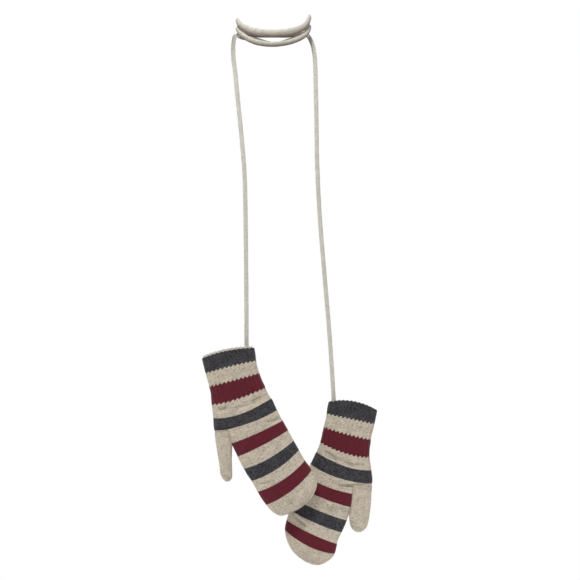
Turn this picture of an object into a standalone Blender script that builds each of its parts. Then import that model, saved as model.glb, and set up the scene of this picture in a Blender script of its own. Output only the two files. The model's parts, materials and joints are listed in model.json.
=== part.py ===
"""A pair of knitted mittens joined by one long knitted cord that is wound round a neck.

Metres, +Z up, the front faces -Y. The origin is the middle of the neck that holds the cord. The left mitten
hangs in the layer in front of y = 0 and the right mitten in the layer behind it, so they can swing past each
other. Each mitten is a chain of tubes along a spine: "along" is the distance from the mouth, tilts are
degrees from straight down, positive to the right, and a tube's two sides are its width to each side.
"""

import math

import bmesh
import bpy
from mathutils import Matrix, Vector

# Driving dimensions
MITTEN_LENGTH = 0.268
CUFF_LENGTH = 0.067
CURL_AT = 0.176  # where the fingers bend
HALF_CUFF = 0.0405
HALF_THICKNESS = 0.0115
TIP_ROUND = 0.046  # length of the rounded end
BEND_FROM = 0.040  # the wrist, where the tilt changes
BEND_TO = 0.112
GUSSET = 0.0075  # how much the palm widens above the thumb
GUSSET_MIDDLE = 0.094
GUSSET_SPREAD = 0.024
WALL = 0.003
GAP = 0.0004
SIDES = 28
ROUNDNESS = 2.3  # exponent of a tube's outline: 2 is an ellipse

FACING_WALL = 0.0016
FACING_LENGTH = 0.018
EDGE_HEIGHT = 0.0026

THUMB_TOP_TO_HINGE = 0.003
THUMB_HALF_THICKNESS = 0.0090
THUMB_WALL = 0.0026
THUMB_SIDES = 20
SEAM_HEIGHT = 0.0024
SEAM_OUT = 0.0014
SWEEP_CLEARANCE = 0.0018
SWEEP_STEPS = 6

CORD_DIAMETER = 0.007
KNOT_RADIUS = 0.0042
KNOT_NOTCH = 0.0052
NOTCH_DEPTH = 0.030  # from the middle of the mouth out through its back wall
NECK_ACROSS = 0.0575
STEPS_PER_PASS = 6
PASS_SPLITS = 2

WOOL_GREY = (0.055, 0.052, 0.058, 1.0)
WOOL_OATMEAL = (0.46, 0.39, 0.31, 1.0)
WOOL_CORD = (0.52, 0.49, 0.41, 1.0)

MITTENS = {
    "left": {
        "mouth": Vector((-0.0715, -0.0135, -0.5280)),
        "half_hand": 0.0450,
        "cuff_tilt": 11.0,
        "hand_tilt": 30.0,
        "thumb_side": -1,
        "thumb_top": Vector((-0.0815, -0.0135, -0.6400)),
        "thumb_tilt": 4.0,
        "thumb_length": 0.0895,
        "thumb_half_widths": (0.0138, 0.0098),
        "thumb_range": (0.0, 25.0),
        "tack": Vector((-0.0430, -0.0075, -0.5186)),
    },
    "right": {
        "mouth": Vector((0.1265, 0.0135, -0.6075)),
        "half_hand": 0.0434,
        "cuff_tilt": -9.0,
        "hand_tilt": -21.5,
        "thumb_side": 1,
        "thumb_top": Vector((0.1395, 0.0135, -0.7260)),
        "thumb_tilt": -1.5,
        "thumb_length": 0.0840,
        "thumb_half_widths": (0.0165, 0.0145),
        "thumb_range": (0.0, 25.0),
        "tack": Vector((0.0965, 0.0195, -0.5996)),
    },
}

# The cord's route, from the left tack up to the neck and down to the right tack
LEFT_DROP = (
    (-0.0430, -0.0075, -0.5140),
    (-0.0430, -0.0130, -0.4400),
    (-0.0438, -0.0170, -0.3450),
    (-0.0454, -0.0180, -0.2500),
    (-0.0494, -0.0160, -0.1940),
    (-0.0568, -0.0110, -0.1200),
    (-0.0605, -0.0070, -0.0830),
    (-0.0640, -0.0040, -0.0520),
    (-0.0640, -0.0010, -0.0300),
    (-0.0605, 0.0050, -0.0160),
)
# Each half turn round the neck: the side it crosses to, how far it reaches along Y, how far outside the
# neck's other turns it ends, and its height at seven even steps of the turn.
NECK_PASSES = (
    (1, 0.054, 0.0, (-0.0130, -0.0150, -0.0165, -0.0226, -0.0165, -0.0100, -0.0040)),
    (-1, -0.055, 0.0, (-0.0040, -0.0205, -0.0340, -0.0395, -0.0345, -0.0200, -0.0060)),
    (1, 0.054, 0.0, (-0.0060, -0.0076, -0.0076, -0.0069, -0.0072, -0.0022, 0.0120)),
    (-1, -0.055, 0.0, (0.0120, -0.0060, -0.0187, -0.0227, -0.0188, -0.0068, 0.0070)),
    (1, 0.045, -0.0075, (0.0070, 0.0005, -0.0030, -0.0055, -0.0065, -0.0080, -0.0100)),
)
RIGHT_DROP = (
    (0.0512, 0.0050, -0.0135),
    (0.0565, 0.0020, -0.0190),
    (0.0615, -0.0010, -0.0290),
    (0.0648, -0.0030, -0.0430),
    (0.0668, -0.0060, -0.0700),
    (0.0683, -0.0080, -0.1400),
    (0.0700, -0.0040, -0.2300),
    (0.0747, 0.0030, -0.3150),
    (0.0818, 0.0080, -0.4000),
    (0.0903, 0.0150, -0.5000),
    (0.0965, 0.0195, -0.5950),
)


def clear_scene():
    for leftover in list(bpy.data.objects):
        bpy.data.objects.remove(leftover, do_unlink=True)


def wool(name, colour, roughness=0.95):
    """A matt material for one piece."""
    material = bpy.data.materials.new(name)
    material.use_nodes = True
    shader = material.node_tree.nodes["Principled BSDF"]
    shader.inputs["Base Color"].default_value = colour
    shader.inputs["Roughness"].default_value = roughness
    shader.inputs["Metallic"].default_value = 0.0
    material.diffuse_color = colour
    return material


def pivot(name, location, parent=None):
    """An empty on a joint's axis, which the moving pieces hang from."""
    empty = bpy.data.objects.new(name, None)
    bpy.context.scene.collection.objects.link(empty)
    empty.parent = parent
    empty.matrix_parent_inverse = Matrix.Identity(4)
    empty.location = location - (parent.matrix_world.translation if parent else Vector())
    bpy.context.view_layer.update()
    return empty


def add_mesh(name, shape, colour, parent=None):
    """The bmesh as an object whose origin is its parent's, shaded smooth."""
    mesh = bpy.data.meshes.new(name)
    if parent:
        bmesh.ops.translate(shape, verts=shape.verts, vec=-parent.matrix_world.translation)
    bmesh.ops.recalc_face_normals(shape, faces=shape.faces)
    shape.to_mesh(mesh)
    shape.free()
    mesh.shade_smooth()
    mesh.set_sharp_from_angle(angle=math.radians(50))
    piece = bpy.data.objects.new(name, mesh)
    bpy.context.scene.collection.objects.link(piece)
    piece.parent = parent
    piece.data.materials.append(wool(name, colour))
    return piece


def cut(piece, cutter):
    """Cuts one piece with another, which stays hidden."""
    cutter.hide_render = True
    cutter.display_type = "WIRE"
    modifier = piece.modifiers.new("cut", "BOOLEAN")
    modifier.operation = "DIFFERENCE"
    modifier.solver = "EXACT"
    modifier.object = cutter


def smooth_step(value, low, high):
    share = min(max((value - low) / (high - low), 0.0), 1.0)
    return share * share * (3.0 - 2.0 * share)


def down(tilt):
    return Vector((math.sin(math.radians(tilt)), 0.0, -math.cos(math.radians(tilt))))


def across(tilt):
    return Vector((math.cos(math.radians(tilt)), 0.0, math.sin(math.radians(tilt))))


def spine(spec, along):
    """The middle of the mitten and its tilt at this distance from the mouth."""
    if along < 0:
        return spec["mouth"] + down(spec["cuff_tilt"]) * along, spec["cuff_tilt"]
    step = 0.001
    place = spec["mouth"].copy()
    walked = 0.0
    while True:
        share = smooth_step(walked, BEND_FROM, BEND_TO)
        tilt = spec["cuff_tilt"] + share * (spec["hand_tilt"] - spec["cuff_tilt"])
        if walked >= along:
            return place, tilt
        stride = min(step, along - walked)
        place = place + down(tilt) * stride
        walked += stride


def round_end(along, end, length):
    """Share of the full width left at this place of a tube whose end is rounded over this length."""
    into = min(max((along - (end - length)) / length, 0.0), 1.0)
    return (1.0 - into**2.6) ** (1.0 / 2.2)


def half_widths(spec, along):
    """How far the mitten reaches to the left and to the right of its spine."""
    plain = HALF_CUFF + smooth_step(along, 0.030, 0.120) * (spec["half_hand"] - HALF_CUFF)
    plain *= round_end(along, MITTEN_LENGTH, TIP_ROUND)
    off_middle = (along - GUSSET_MIDDLE) / GUSSET_SPREAD
    thumb_side = plain + GUSSET * math.exp(-(off_middle**2))
    return (thumb_side, plain) if spec["thumb_side"] < 0 else (plain, thumb_side)


def half_thickness(along):
    flat_mouth = 0.80 + 0.20 * smooth_step(along, 0.0, 0.05)
    return HALF_THICKNESS * flat_mouth * math.sqrt(round_end(along, MITTEN_LENGTH, TIP_ROUND))


def outline(middle, tilt, left, right, thick, sides):
    """Points of a flattened round tube's outline, square to its spine."""
    centre = middle + across(tilt) * (right - left) / 2
    half = (left + right) / 2
    points = []
    for k in range(sides):
        turn = 2 * math.pi * (k + 0.5) / sides
        wide = math.copysign(abs(math.cos(turn)) ** (2 / ROUNDNESS), math.cos(turn))
        deep = math.copysign(abs(math.sin(turn)) ** (2 / ROUNDNESS), math.sin(turn))
        points.append(centre + across(tilt) * half * wide + Vector((0.0, thick * deep, 0.0)))
    return points


def mitten_ring(spec, along, inset=0.0):
    """The mitten's outline at this distance from the mouth, moved inwards by the inset."""
    middle, tilt = spine(spec, along)
    left, right = half_widths(spec, along)
    thick = half_thickness(along)
    least = 0.0015
    return outline(
        middle, tilt, max(left - inset, least), max(right - inset, least), max(thick - inset, least), SIDES
    )


def bridge(shape, first, second):
    """Quads between two rings of vertices."""
    count = len(first)
    for k in range(count):
        shape.faces.new((first[k], first[(k + 1) % count], second[(k + 1) % count], second[k]))


def skin(shape, rings):
    """Vertices for each ring, with quads between one ring and the next."""
    made = [[shape.verts.new(point) for point in ring] for ring in rings]
    for first, second in zip(made, made[1:]):
        bridge(shape, first, second)
    return made


def tube(outer, inner, closed=False):
    """A hollow tube from rings of points: open at both ends, or closed at the last ring."""
    shape = bmesh.new()
    outside = skin(shape, outer)
    inside = skin(shape, inner)
    bridge(shape, outside[0], inside[0])
    if closed:
        shape.faces.new(outside[-1])
        shape.faces.new(inside[-1])
    else:
        bridge(shape, outside[-1], inside[-1])
    return shape


def solid(rings):
    """A filled tube from rings of points."""
    shape = bmesh.new()
    made = skin(shape, rings)
    shape.faces.new(made[0])
    shape.faces.new(made[-1])
    return shape


def evenly(first, last, count):
    return [first + (last - first) * k / (count - 1) for k in range(count)]


def mitten_tube(spec, stations, inset, wall):
    return tube(
        [mitten_ring(spec, along, inset) for along in stations],
        [mitten_ring(spec, along, inset + wall) for along in stations],
    )


def add_cuff(side, spec, body):
    cuff = add_mesh(
        f"{side}_cuff", mitten_tube(spec, evenly(0.0, CUFF_LENGTH - GAP, 6), 0.0, WALL), WOOL_GREY, body
    )
    facing = add_mesh(
        f"{side}_cuff_facing",
        mitten_tube(spec, evenly(-EDGE_HEIGHT, FACING_LENGTH, 4), WALL + GAP, FACING_WALL),
        WOOL_OATMEAL,
        body,
    )
    edge = add_mesh(
        f"{side}_cast_on_edge",
        mitten_tube(spec, evenly(-EDGE_HEIGHT - GAP, -GAP, 3), -GAP, WALL),
        WOOL_GREY,
        body,
    )
    notch = bmesh.new()
    back_wall = Vector((spec["tack"].x, spec["mouth"].y + NOTCH_DEPTH / 2, spec["tack"].z))
    bmesh.ops.create_cone(
        notch,
        cap_ends=True,
        segments=24,
        radius1=KNOT_NOTCH,
        radius2=KNOT_NOTCH,
        depth=NOTCH_DEPTH,
        matrix=Matrix.Translation(back_wall) @ Matrix.Rotation(math.pi / 2, 4, "X"),
    )
    notch = add_mesh(f"{side}_notch_cutter", notch, WOOL_GREY, body)
    for piece in (cuff, facing, edge):
        cut(piece, notch)


def add_palm(side, spec, body):
    palm = add_mesh(
        f"{side}_palm",
        mitten_tube(spec, evenly(CUFF_LENGTH, CURL_AT - GAP, 9), 0.0, WALL),
        WOOL_GREY,
        body,
    )
    cut(palm, add_mesh(f"{side}_thumb_cutter", swept_thumb(spec), WOOL_GREY, body))


def add_fingers(side, spec, body):
    straight = MITTEN_LENGTH - TIP_ROUND
    ends = [straight + TIP_ROUND * share for share in (0.25, 0.45, 0.62, 0.76, 0.87, 0.95, 0.995)]
    stations = evenly(CURL_AT, straight, 4) + ends
    inner_end = MITTEN_LENGTH - WALL
    inner = [min(along, inner_end) for along in stations[:-1]]
    shape = tube(
        [mitten_ring(spec, along) for along in stations],
        [mitten_ring(spec, along, WALL) for along in inner],
        closed=True,
    )
    add_mesh(f"{side}_fingers", shape, WOOL_OATMEAL, body)


def add_tip_seam(side, spec, body):
    """The bound-off ridge inside the tip, clear of the fabric round it."""
    middle, tilt = spine(spec, MITTEN_LENGTH - 0.011)
    ridge = bmesh.new()
    bmesh.ops.create_cube(ridge, size=1.0)
    bmesh.ops.scale(ridge, verts=ridge.verts, vec=(0.036, 0.0024, 0.0030))
    turned = Matrix((across(tilt), Vector((0.0, 1.0, 0.0)), -down(tilt))).transposed().to_4x4()
    bmesh.ops.transform(ridge, verts=ridge.verts, matrix=Matrix.Translation(middle) @ turned)
    bmesh.ops.bevel(
        ridge, geom=ridge.edges[:], offset=0.0006, segments=2, affect="EDGES", profile=0.5
    )
    add_mesh(f"{side}_tip_seam", ridge, WOOL_OATMEAL, body)


def thumb_ring(spec, along, inset=0.0, extra=0.0):
    """The thumb's outline at this distance from its top."""
    length = spec["thumb_length"]
    wide_top, wide_low = spec["thumb_half_widths"]
    end = round_end(along, length, wide_low * 1.3)
    half = (wide_top + (wide_low - wide_top) * smooth_step(along, 0.02, length * 0.8)) * end
    thick = THUMB_HALF_THICKNESS * math.sqrt(end)
    middle = spec["thumb_top"] + down(spec["thumb_tilt"]) * along
    least = 0.0012
    half = max(half - inset, least) + extra
    thick = max(thick - inset, least) + extra
    return outline(middle, spec["thumb_tilt"], half, half, thick, THUMB_SIDES)


def thumb_hinge(spec):
    return spec["thumb_top"] + down(spec["thumb_tilt"]) * THUMB_TOP_TO_HINGE


def swept_thumb(spec):
    """A slab round every place that the thumb and its seam reach over the thumb's range."""
    hinge = thumb_hinge(spec)
    low, high = spec["thumb_range"]
    slab = bmesh.new()
    for degrees in evenly(low, high, SWEEP_STEPS):
        turn = Matrix.Rotation(math.radians(degrees * -spec["thumb_side"]), 4, "Y")
        for along in (-SWEEP_CLEARANCE, spec["thumb_length"] * 0.85):
            ring = thumb_ring(spec, along, 0.0, SWEEP_CLEARANCE)
            for point in (ring[0], ring[THUMB_SIDES // 2]):
                placed = hinge + turn @ (point - hinge)
                for depth in (-0.02, 0.02):
                    slab.verts.new((placed.x, spec["thumb_top"].y + depth, placed.z))
    bmesh.ops.convex_hull(slab, input=slab.verts)
    bmesh.ops.delete(slab, geom=[v for v in slab.verts if not v.link_faces], context="VERTS")
    return slab


def add_thumb(side, spec, body):
    length = spec["thumb_length"]
    round_length = spec["thumb_half_widths"][1] * 1.3
    straight = length - round_length
    ends = [straight + round_length * share for share in (0.3, 0.55, 0.75, 0.9, 0.99)]
    stations = evenly(0.0, straight, 5) + ends
    inner = [min(along, length - THUMB_WALL) for along in stations[:-1]]
    shape = tube(
        [thumb_ring(spec, along) for along in stations],
        [thumb_ring(spec, along, THUMB_WALL) for along in inner],
        closed=True,
    )
    add_mesh(f"{side}_thumb", shape, WOOL_OATMEAL, body)
    seam_levels = evenly(0.0006, SEAM_HEIGHT, 3)
    seam = tube(
        [thumb_ring(spec, along, 0.0, SEAM_OUT) for along in seam_levels],
        [thumb_ring(spec, along, 0.0, GAP) for along in seam_levels],
    )
    add_mesh(f"{side}_thumb_seam", seam, WOOL_OATMEAL, body)
    gather = bmesh.new()
    middle = spec["thumb_top"] + down(spec["thumb_tilt"]) * (length - THUMB_WALL - 0.0055)
    bmesh.ops.create_uvsphere(
        gather, u_segments=12, v_segments=8, radius=0.0022, matrix=Matrix.Translation(middle)
    )
    add_mesh(f"{side}_thumb_gather", gather, WOOL_OATMEAL, body)


def add_tack(side, spec):
    knot = bmesh.new()
    bmesh.ops.create_uvsphere(
        knot, u_segments=16, v_segments=10, radius=KNOT_RADIUS, matrix=Matrix.Translation(spec["tack"])
    )
    add_mesh(f"{side}_cord_tack", knot, WOOL_CORD)


def add_mitten(side, spec):
    """One mitten: the hand hangs from the cord, and its thumb and fingers hang from the hand."""
    hand = pivot(f"{side}_hand_pivot", spec["tack"])
    thumb = pivot(f"{side}_thumb_pivot", thumb_hinge(spec), hand)
    knuckle, _ = spine(spec, CURL_AT - GAP / 2)
    knuckle.y += spec["thumb_side"] * half_thickness(CURL_AT)
    fingers = pivot(f"{side}_fingers_pivot", knuckle, hand)
    add_tack(side, spec)
    add_cuff(side, spec, hand)
    add_palm(side, spec, hand)
    add_fingers(side, spec, fingers)
    add_tip_seam(side, spec, fingers)
    add_thumb(side, spec, thumb)


def pass_points(start_across, end_across, reach, heights):
    """Points along one half turn round the neck, its two ends left out."""
    points = []
    for k in range(1, STEPS_PER_PASS):
        turn = math.pi * k / STEPS_PER_PASS
        crossed = (1 - math.cos(turn)) / 2
        place = start_across + (end_across - start_across) * crossed
        points.append(Vector((place, reach * math.sin(turn), heights[k])))
    return points


def cord_route():
    """The route's own points, from the left tack round the neck to the right tack."""
    route = [Vector(point) for point in LEFT_DROP]
    start_across = -NECK_ACROSS
    for number, (to, reach, end_out, heights) in enumerate(NECK_PASSES):
        if number:
            route.append(Vector((start_across, 0.0, heights[0])))
        route += pass_points(start_across, to * (NECK_ACROSS + end_out), reach, heights)
        start_across = to * NECK_ACROSS
    return route + [Vector(point) for point in RIGHT_DROP]


def smooth_route(route):
    """A smooth curve through the route, read twice between points that lie round the neck."""
    points = []
    neck_from = len(LEFT_DROP) - 1
    neck_to = len(route) - len(RIGHT_DROP)
    for k in range(len(route) - 1):
        before = route[max(k - 1, 0)]
        here = route[k]
        after = route[k + 1]
        beyond = route[min(k + 2, len(route) - 1)]
        splits = PASS_SPLITS if neck_from <= k < neck_to else 1
        for part in range(splits):
            t = part / splits
            points.append(
                0.5
                * (
                    2 * here
                    + (after - before) * t
                    + (2 * before - 5 * here + 4 * after - beyond) * t**2
                    + (3 * here - before - 3 * after + beyond) * t**3
                )
            )
    return points + [route[-1]]


def add_cord():
    """The cord as a tube with filled ends."""
    curve = bpy.data.curves.new("neck_cord", "CURVE")
    curve.dimensions = "3D"
    curve.bevel_depth = CORD_DIAMETER / 2
    curve.bevel_resolution = 2
    curve.use_fill_caps = True
    points = smooth_route(cord_route())
    line = curve.splines.new("POLY")
    line.points.add(len(points) - 1)
    for point, place in zip(line.points, points):
        point.co = (*place, 1.0)
    cord = bpy.data.objects.new("neck_cord", curve)
    bpy.context.scene.collection.objects.link(cord)
    cord.data.materials.append(wool("neck_cord", WOOL_CORD))
    length = sum((b - a).length for a, b in zip(points, points[1:]))
    print(f"cord: {len(points)} points, {length:.3f} m")


def main():
    clear_scene()
    add_cord()
    for side, spec in MITTENS.items():
        add_mitten(side, spec)


main()
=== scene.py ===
"""Two knitted mittens joined by one long knitted cord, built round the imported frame.

Distances in the tables are millimetres. "along" is the distance from a mitten's mouth along its spine, and a
"course" is the same distance counted in the fabric, so stripes and stitches follow the rows of the knitting.
A mitten's left and right are as seen from the front, which faces -Y.
"""

import json
import math

import bpy
import numpy as np
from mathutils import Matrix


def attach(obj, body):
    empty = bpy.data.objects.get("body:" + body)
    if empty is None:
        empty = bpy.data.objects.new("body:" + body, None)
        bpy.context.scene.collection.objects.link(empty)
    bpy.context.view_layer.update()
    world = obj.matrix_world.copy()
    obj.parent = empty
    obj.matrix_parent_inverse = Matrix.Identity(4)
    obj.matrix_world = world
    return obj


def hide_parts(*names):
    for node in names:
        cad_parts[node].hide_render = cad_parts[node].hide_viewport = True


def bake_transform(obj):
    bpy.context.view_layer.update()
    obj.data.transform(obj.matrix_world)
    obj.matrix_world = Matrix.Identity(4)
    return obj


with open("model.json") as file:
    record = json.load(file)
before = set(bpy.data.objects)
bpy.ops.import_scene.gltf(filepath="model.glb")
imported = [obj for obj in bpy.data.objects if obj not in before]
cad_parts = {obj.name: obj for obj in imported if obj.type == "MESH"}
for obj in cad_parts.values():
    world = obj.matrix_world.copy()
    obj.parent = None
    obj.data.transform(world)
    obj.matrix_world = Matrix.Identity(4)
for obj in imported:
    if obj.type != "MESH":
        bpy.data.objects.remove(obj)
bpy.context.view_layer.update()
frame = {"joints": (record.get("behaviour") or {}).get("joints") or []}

MM = 0.001

# --- fabric ---
WALES = 52  # stitches round a mitten
RIBS = WALES // 2
COURSE = 2.35  # from one row of stitches to the next
COLUMNS = 6 * WALES  # of the mesh round a mitten
ROW_STEP = COURSE / 3  # from one ring of the mesh to the next
ROUNDNESS = 2.5  # exponent of the flattened tube's outline
HALF_THICKNESS = 11.5
WALL = 2.2
STITCH_WIDTH = 3.2
RIB_HEIGHT = 0.38
STITCH_HEIGHT = 0.26
RIB_END = 75.0  # the course where ribbing turns into plain knitting, which is also the cuff's end
EDGE_WAVE = 0.5  # how far the cast-on edge rises over each rib
CREASE_SWELL = 2.6  # how far the fabric beside a crease may stand out
FABRIC_END = 276.0
TIP_ROUNDING = 46.0  # the length over which the tip thins out
PUFF, PUFF_AT, PUFF_LENGTH = 0.10, 120.0, 55.0  # the hand is this share thicker here than at the mouth
CREASE_SHARE_TO_MM = 45.0  # across the front, from the creases' shares
LEG_OFFSET, LEG_SHARPNESS, LEG_SLANT = 0.26, 3.4, 1.5  # of a stitch's two slanted legs, in stitches
FACING_END = 17.0
EDGE_LIFT_LENGTH = 5.0  # the facing's scallops die out over this length

# Courses where the stripes change
STRIPE_EDGES = (22, 45, 75, 98, 118, 139, 159, 182, 203, 223, 244)
STRIPE_YARNS = (
    "charcoal", "oatmeal", "burgundy", "oatmeal", "charcoal", "oatmeal",
    "burgundy", "oatmeal", "charcoal", "oatmeal", "burgundy", "oatmeal",
)
TIP_FROM = STRIPE_EDGES[-1]

# mouth, thumb_top: x, y, z of the spine's start and of the thumb's start; tilts in degrees from straight down
# thumb_from: where down the thumb its own knitting starts; facing_top: the course of the facing's upper edge
# knot_below: how far the cord's knot lies below the swing joint
# courses: course, then where it lies along the spine at the left edge, the middle and the right edge
# outline: along, then how far the fabric reaches to the left and to the right of the spine
# creases on the front: course, share across from -1 to 1, turn in degrees, length, width and depth
MITTENS = {
    "left": {
        "mouth": (-71.5, -13.5, -528.0),
        "cuff_tilt": 11.0,
        "hand_tilt": 30.0,
        "courses": (
            (-8, -10.0, -14.0, -9.5),
            (0, -2.0, -6.3, -2.5),
            (22, 20.3, 16.6, 16.0),
            (45, 42.6, 39.6, 36.6),
            (75, 67.0, 69.9, 65.7),
            (98, 83.0, 93.8, 94.3),
            (118, 98.0, 112.4, 116.8),
            (139, 127.0, 132.8, 136.0),
            (159, 149.5, 153.2, 153.6),
            (182, 171.7, 176.6, 172.3),
            (203, 193.8, 197.2, 189.2),
            (223, 214.2, 217.0, 208.5),
            (244, 238.4, 238.6, 227.0),
            (276, 271.4, 271.4, 271.4),
        ),
        "outline": (
            (-15, 42.3, 42.6),
            (0, 42.0, 42.3),
            (15, 41.4, 41.8),
            (30, 39.6, 41.6),
            (45, 39.0, 43.6),
            (60, 39.8, 46.4),
            (70, 42.2, 47.2),
            (82, 47.2, 47.6),
            (92, 51.9, 48.6),
            (100, 54.6, 49.4),
            (106, 51.6, 49.2),
            (116, 44.0, 48.2),
            (126, 41.6, 47.4),
            (140, 42.4, 47.6),
            (160, 44.0, 46.6),
            (180, 44.4, 46.2),
            (200, 43.4, 46.2),
            (215, 43.2, 47.4),
            (230, 43.4, 48.0),
            (241, 42.4, 48.4),
            (250, 40.6, 45.6),
            (258, 37.4, 38.6),
            (264, 33.4, 29.4),
            (268, 27.2, 20.6),
            (270.4, 16.0, 9.6),
            (271.4, 4.0, 0.0),
        ),
        "thumb_side": -1,
        "thumb_top": (-81.5, -13.5, -640.0),
        "thumb_tilt": 4.0,
        "thumb_from": 6.6,
        "thumb_outline": (
            (0, 13.4, 14.4),
            (8, 12.9, 14.6),
            (23, 12.1, 15.0),
            (38, 11.1, 13.4),
            (54, 9.8, 11.4),
            (66, 8.9, 10.9),
            (75, 8.0, 10.8),
            (81, 6.4, 10.2),
            (85.5, 4.0, 8.8),
            (88.2, 0.8, 6.2),
            (89.2, -1.6, 3.4),
        ),
        "creases": (
            (88, 0.62, 4, 11, 4.0, 5.6),
            (84, -0.62, -6, 8, 3.2, 3.0),
            (89, 0.05, 8, 13, 2.6, 1.3),
            (131, 0.74, 18, 9, 3.4, 4.6),
            (107, 0.30, -14, 10, 3.0, 1.0),
            (253, -0.24, 70, 9, 3.6, 5.6),
            (214, -0.62, 12, 10, 2.6, 1.8),
            (168, 0.10, -10, 14, 3.6, 0.8),
            (212, 0.30, 20, 12, 3.0, 0.9),
            (30, -0.10, 80, 12, 4.0, 0.6),
        ),
        "facing_top": -4.6,
        "knot_below": 0.0,
    },
    "right": {
        "mouth": (126.5, 13.5, -607.5),
        "cuff_tilt": -9.0,
        "hand_tilt": -21.5,
        "courses": (
            (-8, -3.0, -10.6, -3.4),
            (0, 3.6, -2.6, 5.0),
            (22, 20.8, 22.4, 25.1),
            (45, 43.4, 48.0, 50.6),
            (75, 72.0, 78.2, 74.8),
            (98, 92.4, 97.8, 91.0),
            (118, 115.0, 118.6, 108.5),
            (139, 135.5, 138.6, 133.5),
            (159, 155.5, 158.0, 155.4),
            (182, 176.4, 179.4, 178.0),
            (203, 195.4, 199.2, 198.6),
            (223, 213.4, 218.2, 219.0),
            (244, 228.6, 238.2, 234.8),
            (276, 265.2, 265.2, 265.2),
        ),
        "outline": (
            (-15, 37.0, 41.4),
            (2, 37.6, 41.0),
            (15, 38.9, 40.6),
            (30, 38.0, 39.4),
            (45, 39.0, 38.2),
            (60, 40.0, 39.0),
            (72, 40.2, 41.0),
            (82, 41.0, 45.6),
            (92, 42.0, 51.6),
            (101, 43.0, 57.0),
            (109, 43.6, 59.8),
            (115, 43.9, 56.4),
            (123, 44.2, 46.6),
            (132, 44.6, 42.8),
            (148, 45.2, 42.6),
            (165, 45.8, 43.4),
            (180, 46.2, 43.8),
            (200, 46.8, 43.0),
            (213, 46.6, 42.8),
            (222, 45.6, 43.8),
            (232, 42.0, 45.0),
            (240, 37.0, 44.2),
            (247, 31.2, 41.8),
            (253, 24.4, 38.2),
            (258, 16.6, 34.0),
            (262, 6.4, 28.6),
            (264.4, -4.0, 21.0),
            (265.2, -9.0, 15.0),
        ),
        "thumb_side": 1,
        "thumb_top": (139.5, 13.5, -726.0),
        "thumb_tilt": -1.5,
        "thumb_from": 8.6,
        "thumb_outline": (
            (0, 15.6, 18.4),
            (12, 15.6, 18.9),
            (28, 15.2, 18.5),
            (45, 15.2, 17.7),
            (60, 15.7, 16.4),
            (70, 15.6, 15.1),
            (77, 14.2, 13.2),
            (82, 11.6, 10.0),
            (85.6, 7.6, 5.6),
            (87.4, 2.8, 1.4),
        ),
        "creases": (
            (91, -0.50, 8, 9, 4.4, 6.4),
            (92, 0.14, 8, 8, 3.8, 4.8),
            (90, 0.66, -6, 8, 2.4, 1.3),
            (127, 0.52, -20, 9, 2.8, 4.4),
            (130, 0.05, 10, 10, 2.6, 1.2),
            (168, 0.02, 50, 7, 3.6, 5.2),
            (171, 0.26, -34, 7, 3.4, 5.0),
            (168, 0.66, 24, 8, 2.4, 1.2),
            (212, -0.42, 12, 12, 3.0, 1.4),
            (256, 0.15, 20, 12, 3.6, 0.8),
        ),
        "facing_top": 0.6,
        "knot_below": 2.4,
    },
}
THUMB_HALF_THICKNESS = 9.4
THUMB_WALES = 22
THUMB_WALL = 2.0
THUMB_ROUNDING = 17.0  # the length over which the thumb's tip thins out
OPENING_DEPTH = 2.0  # how far the palm's fabric draws in under the thumb
SPINE_STEP = 0.5
BEND_FROM, BEND_TO = 40.0, 112.0

# --- cord: the route's points in metres, as in the CAD ---
LEFT_DROP = (
    (-0.0430, -0.0060, -0.5140),
    (-0.0430, -0.0130, -0.4400),
    (-0.0438, -0.0170, -0.3450),
    (-0.0454, -0.0180, -0.2500),
    (-0.0494, -0.0160, -0.1940),
    (-0.0568, -0.0110, -0.1200),
    (-0.0605, -0.0070, -0.0830),
    (-0.0640, -0.0040, -0.0520),
    (-0.0640, -0.0010, -0.0300),
    (-0.0605, 0.0050, -0.0160),
)
# Each half turn round the neck: the side it ends on, its reach along Y, how far outside the other turns it
# ends, its height at seven places from start to end, and the cord's width half way
NECK_PASSES = (
    (1, 0.054, 0.0, (-0.0130, -0.0150, -0.0165, -0.0226, -0.0165, -0.0100, -0.0040), 0.0080),
    (-1, -0.055, 0.0, (-0.0040, -0.0205, -0.0340, -0.0395, -0.0345, -0.0200, -0.0060), 0.0081),
    (1, 0.054, 0.0, (-0.0060, -0.0076, -0.0076, -0.0069, -0.0072, -0.0022, 0.0120), 0.0092),
    (-1, -0.055, 0.0, (0.0120, -0.0060, -0.0187, -0.0227, -0.0188, -0.0068, 0.0070), 0.0124),
    (1, 0.045, -0.0075, (0.0070, 0.0005, -0.0030, -0.0055, -0.0065, -0.0080, -0.0100), 0.0092),
)
NECK_ACROSS = 0.0575
RIGHT_DROP = (
    (0.0512, 0.0050, -0.0135),
    (0.0565, 0.0020, -0.0190),
    (0.0615, -0.0010, -0.0290),
    (0.0648, -0.0030, -0.0430),
    (0.0668, -0.0060, -0.0700),
    (0.0683, -0.0080, -0.1400),
    (0.0700, -0.0040, -0.2300),
    (0.0747, 0.0030, -0.3150),
    (0.0818, 0.0080, -0.4000),
    (0.0903, 0.0150, -0.5000),
    (0.0965, 0.0163, -0.5950),
)
CORD_END_BELOW = 0.0055  # the cord's ends run on down to their knots
CORD_STEP = 0.0011
CORD_SIDES = 24
CORD_WIDTH_NECK = 0.0092
CORD_WIDTH_DROP = 0.0068
CORD_THICK_NECK = 0.0058
CORD_THICK_DROP = 0.0044
CORD_TURN_OVER = 0.03  # the cord turns its broad side over this length at each end of the neck's turns
CORD_WALES = 5
NECK_STEPS = 6  # of each half turn


# --- small maths ---
def smooth_step(value, low, high):
    share = np.clip((np.asarray(value, float) - low) / (high - low), 0.0, 1.0)
    return share * share * (3.0 - 2.0 * share)


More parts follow.
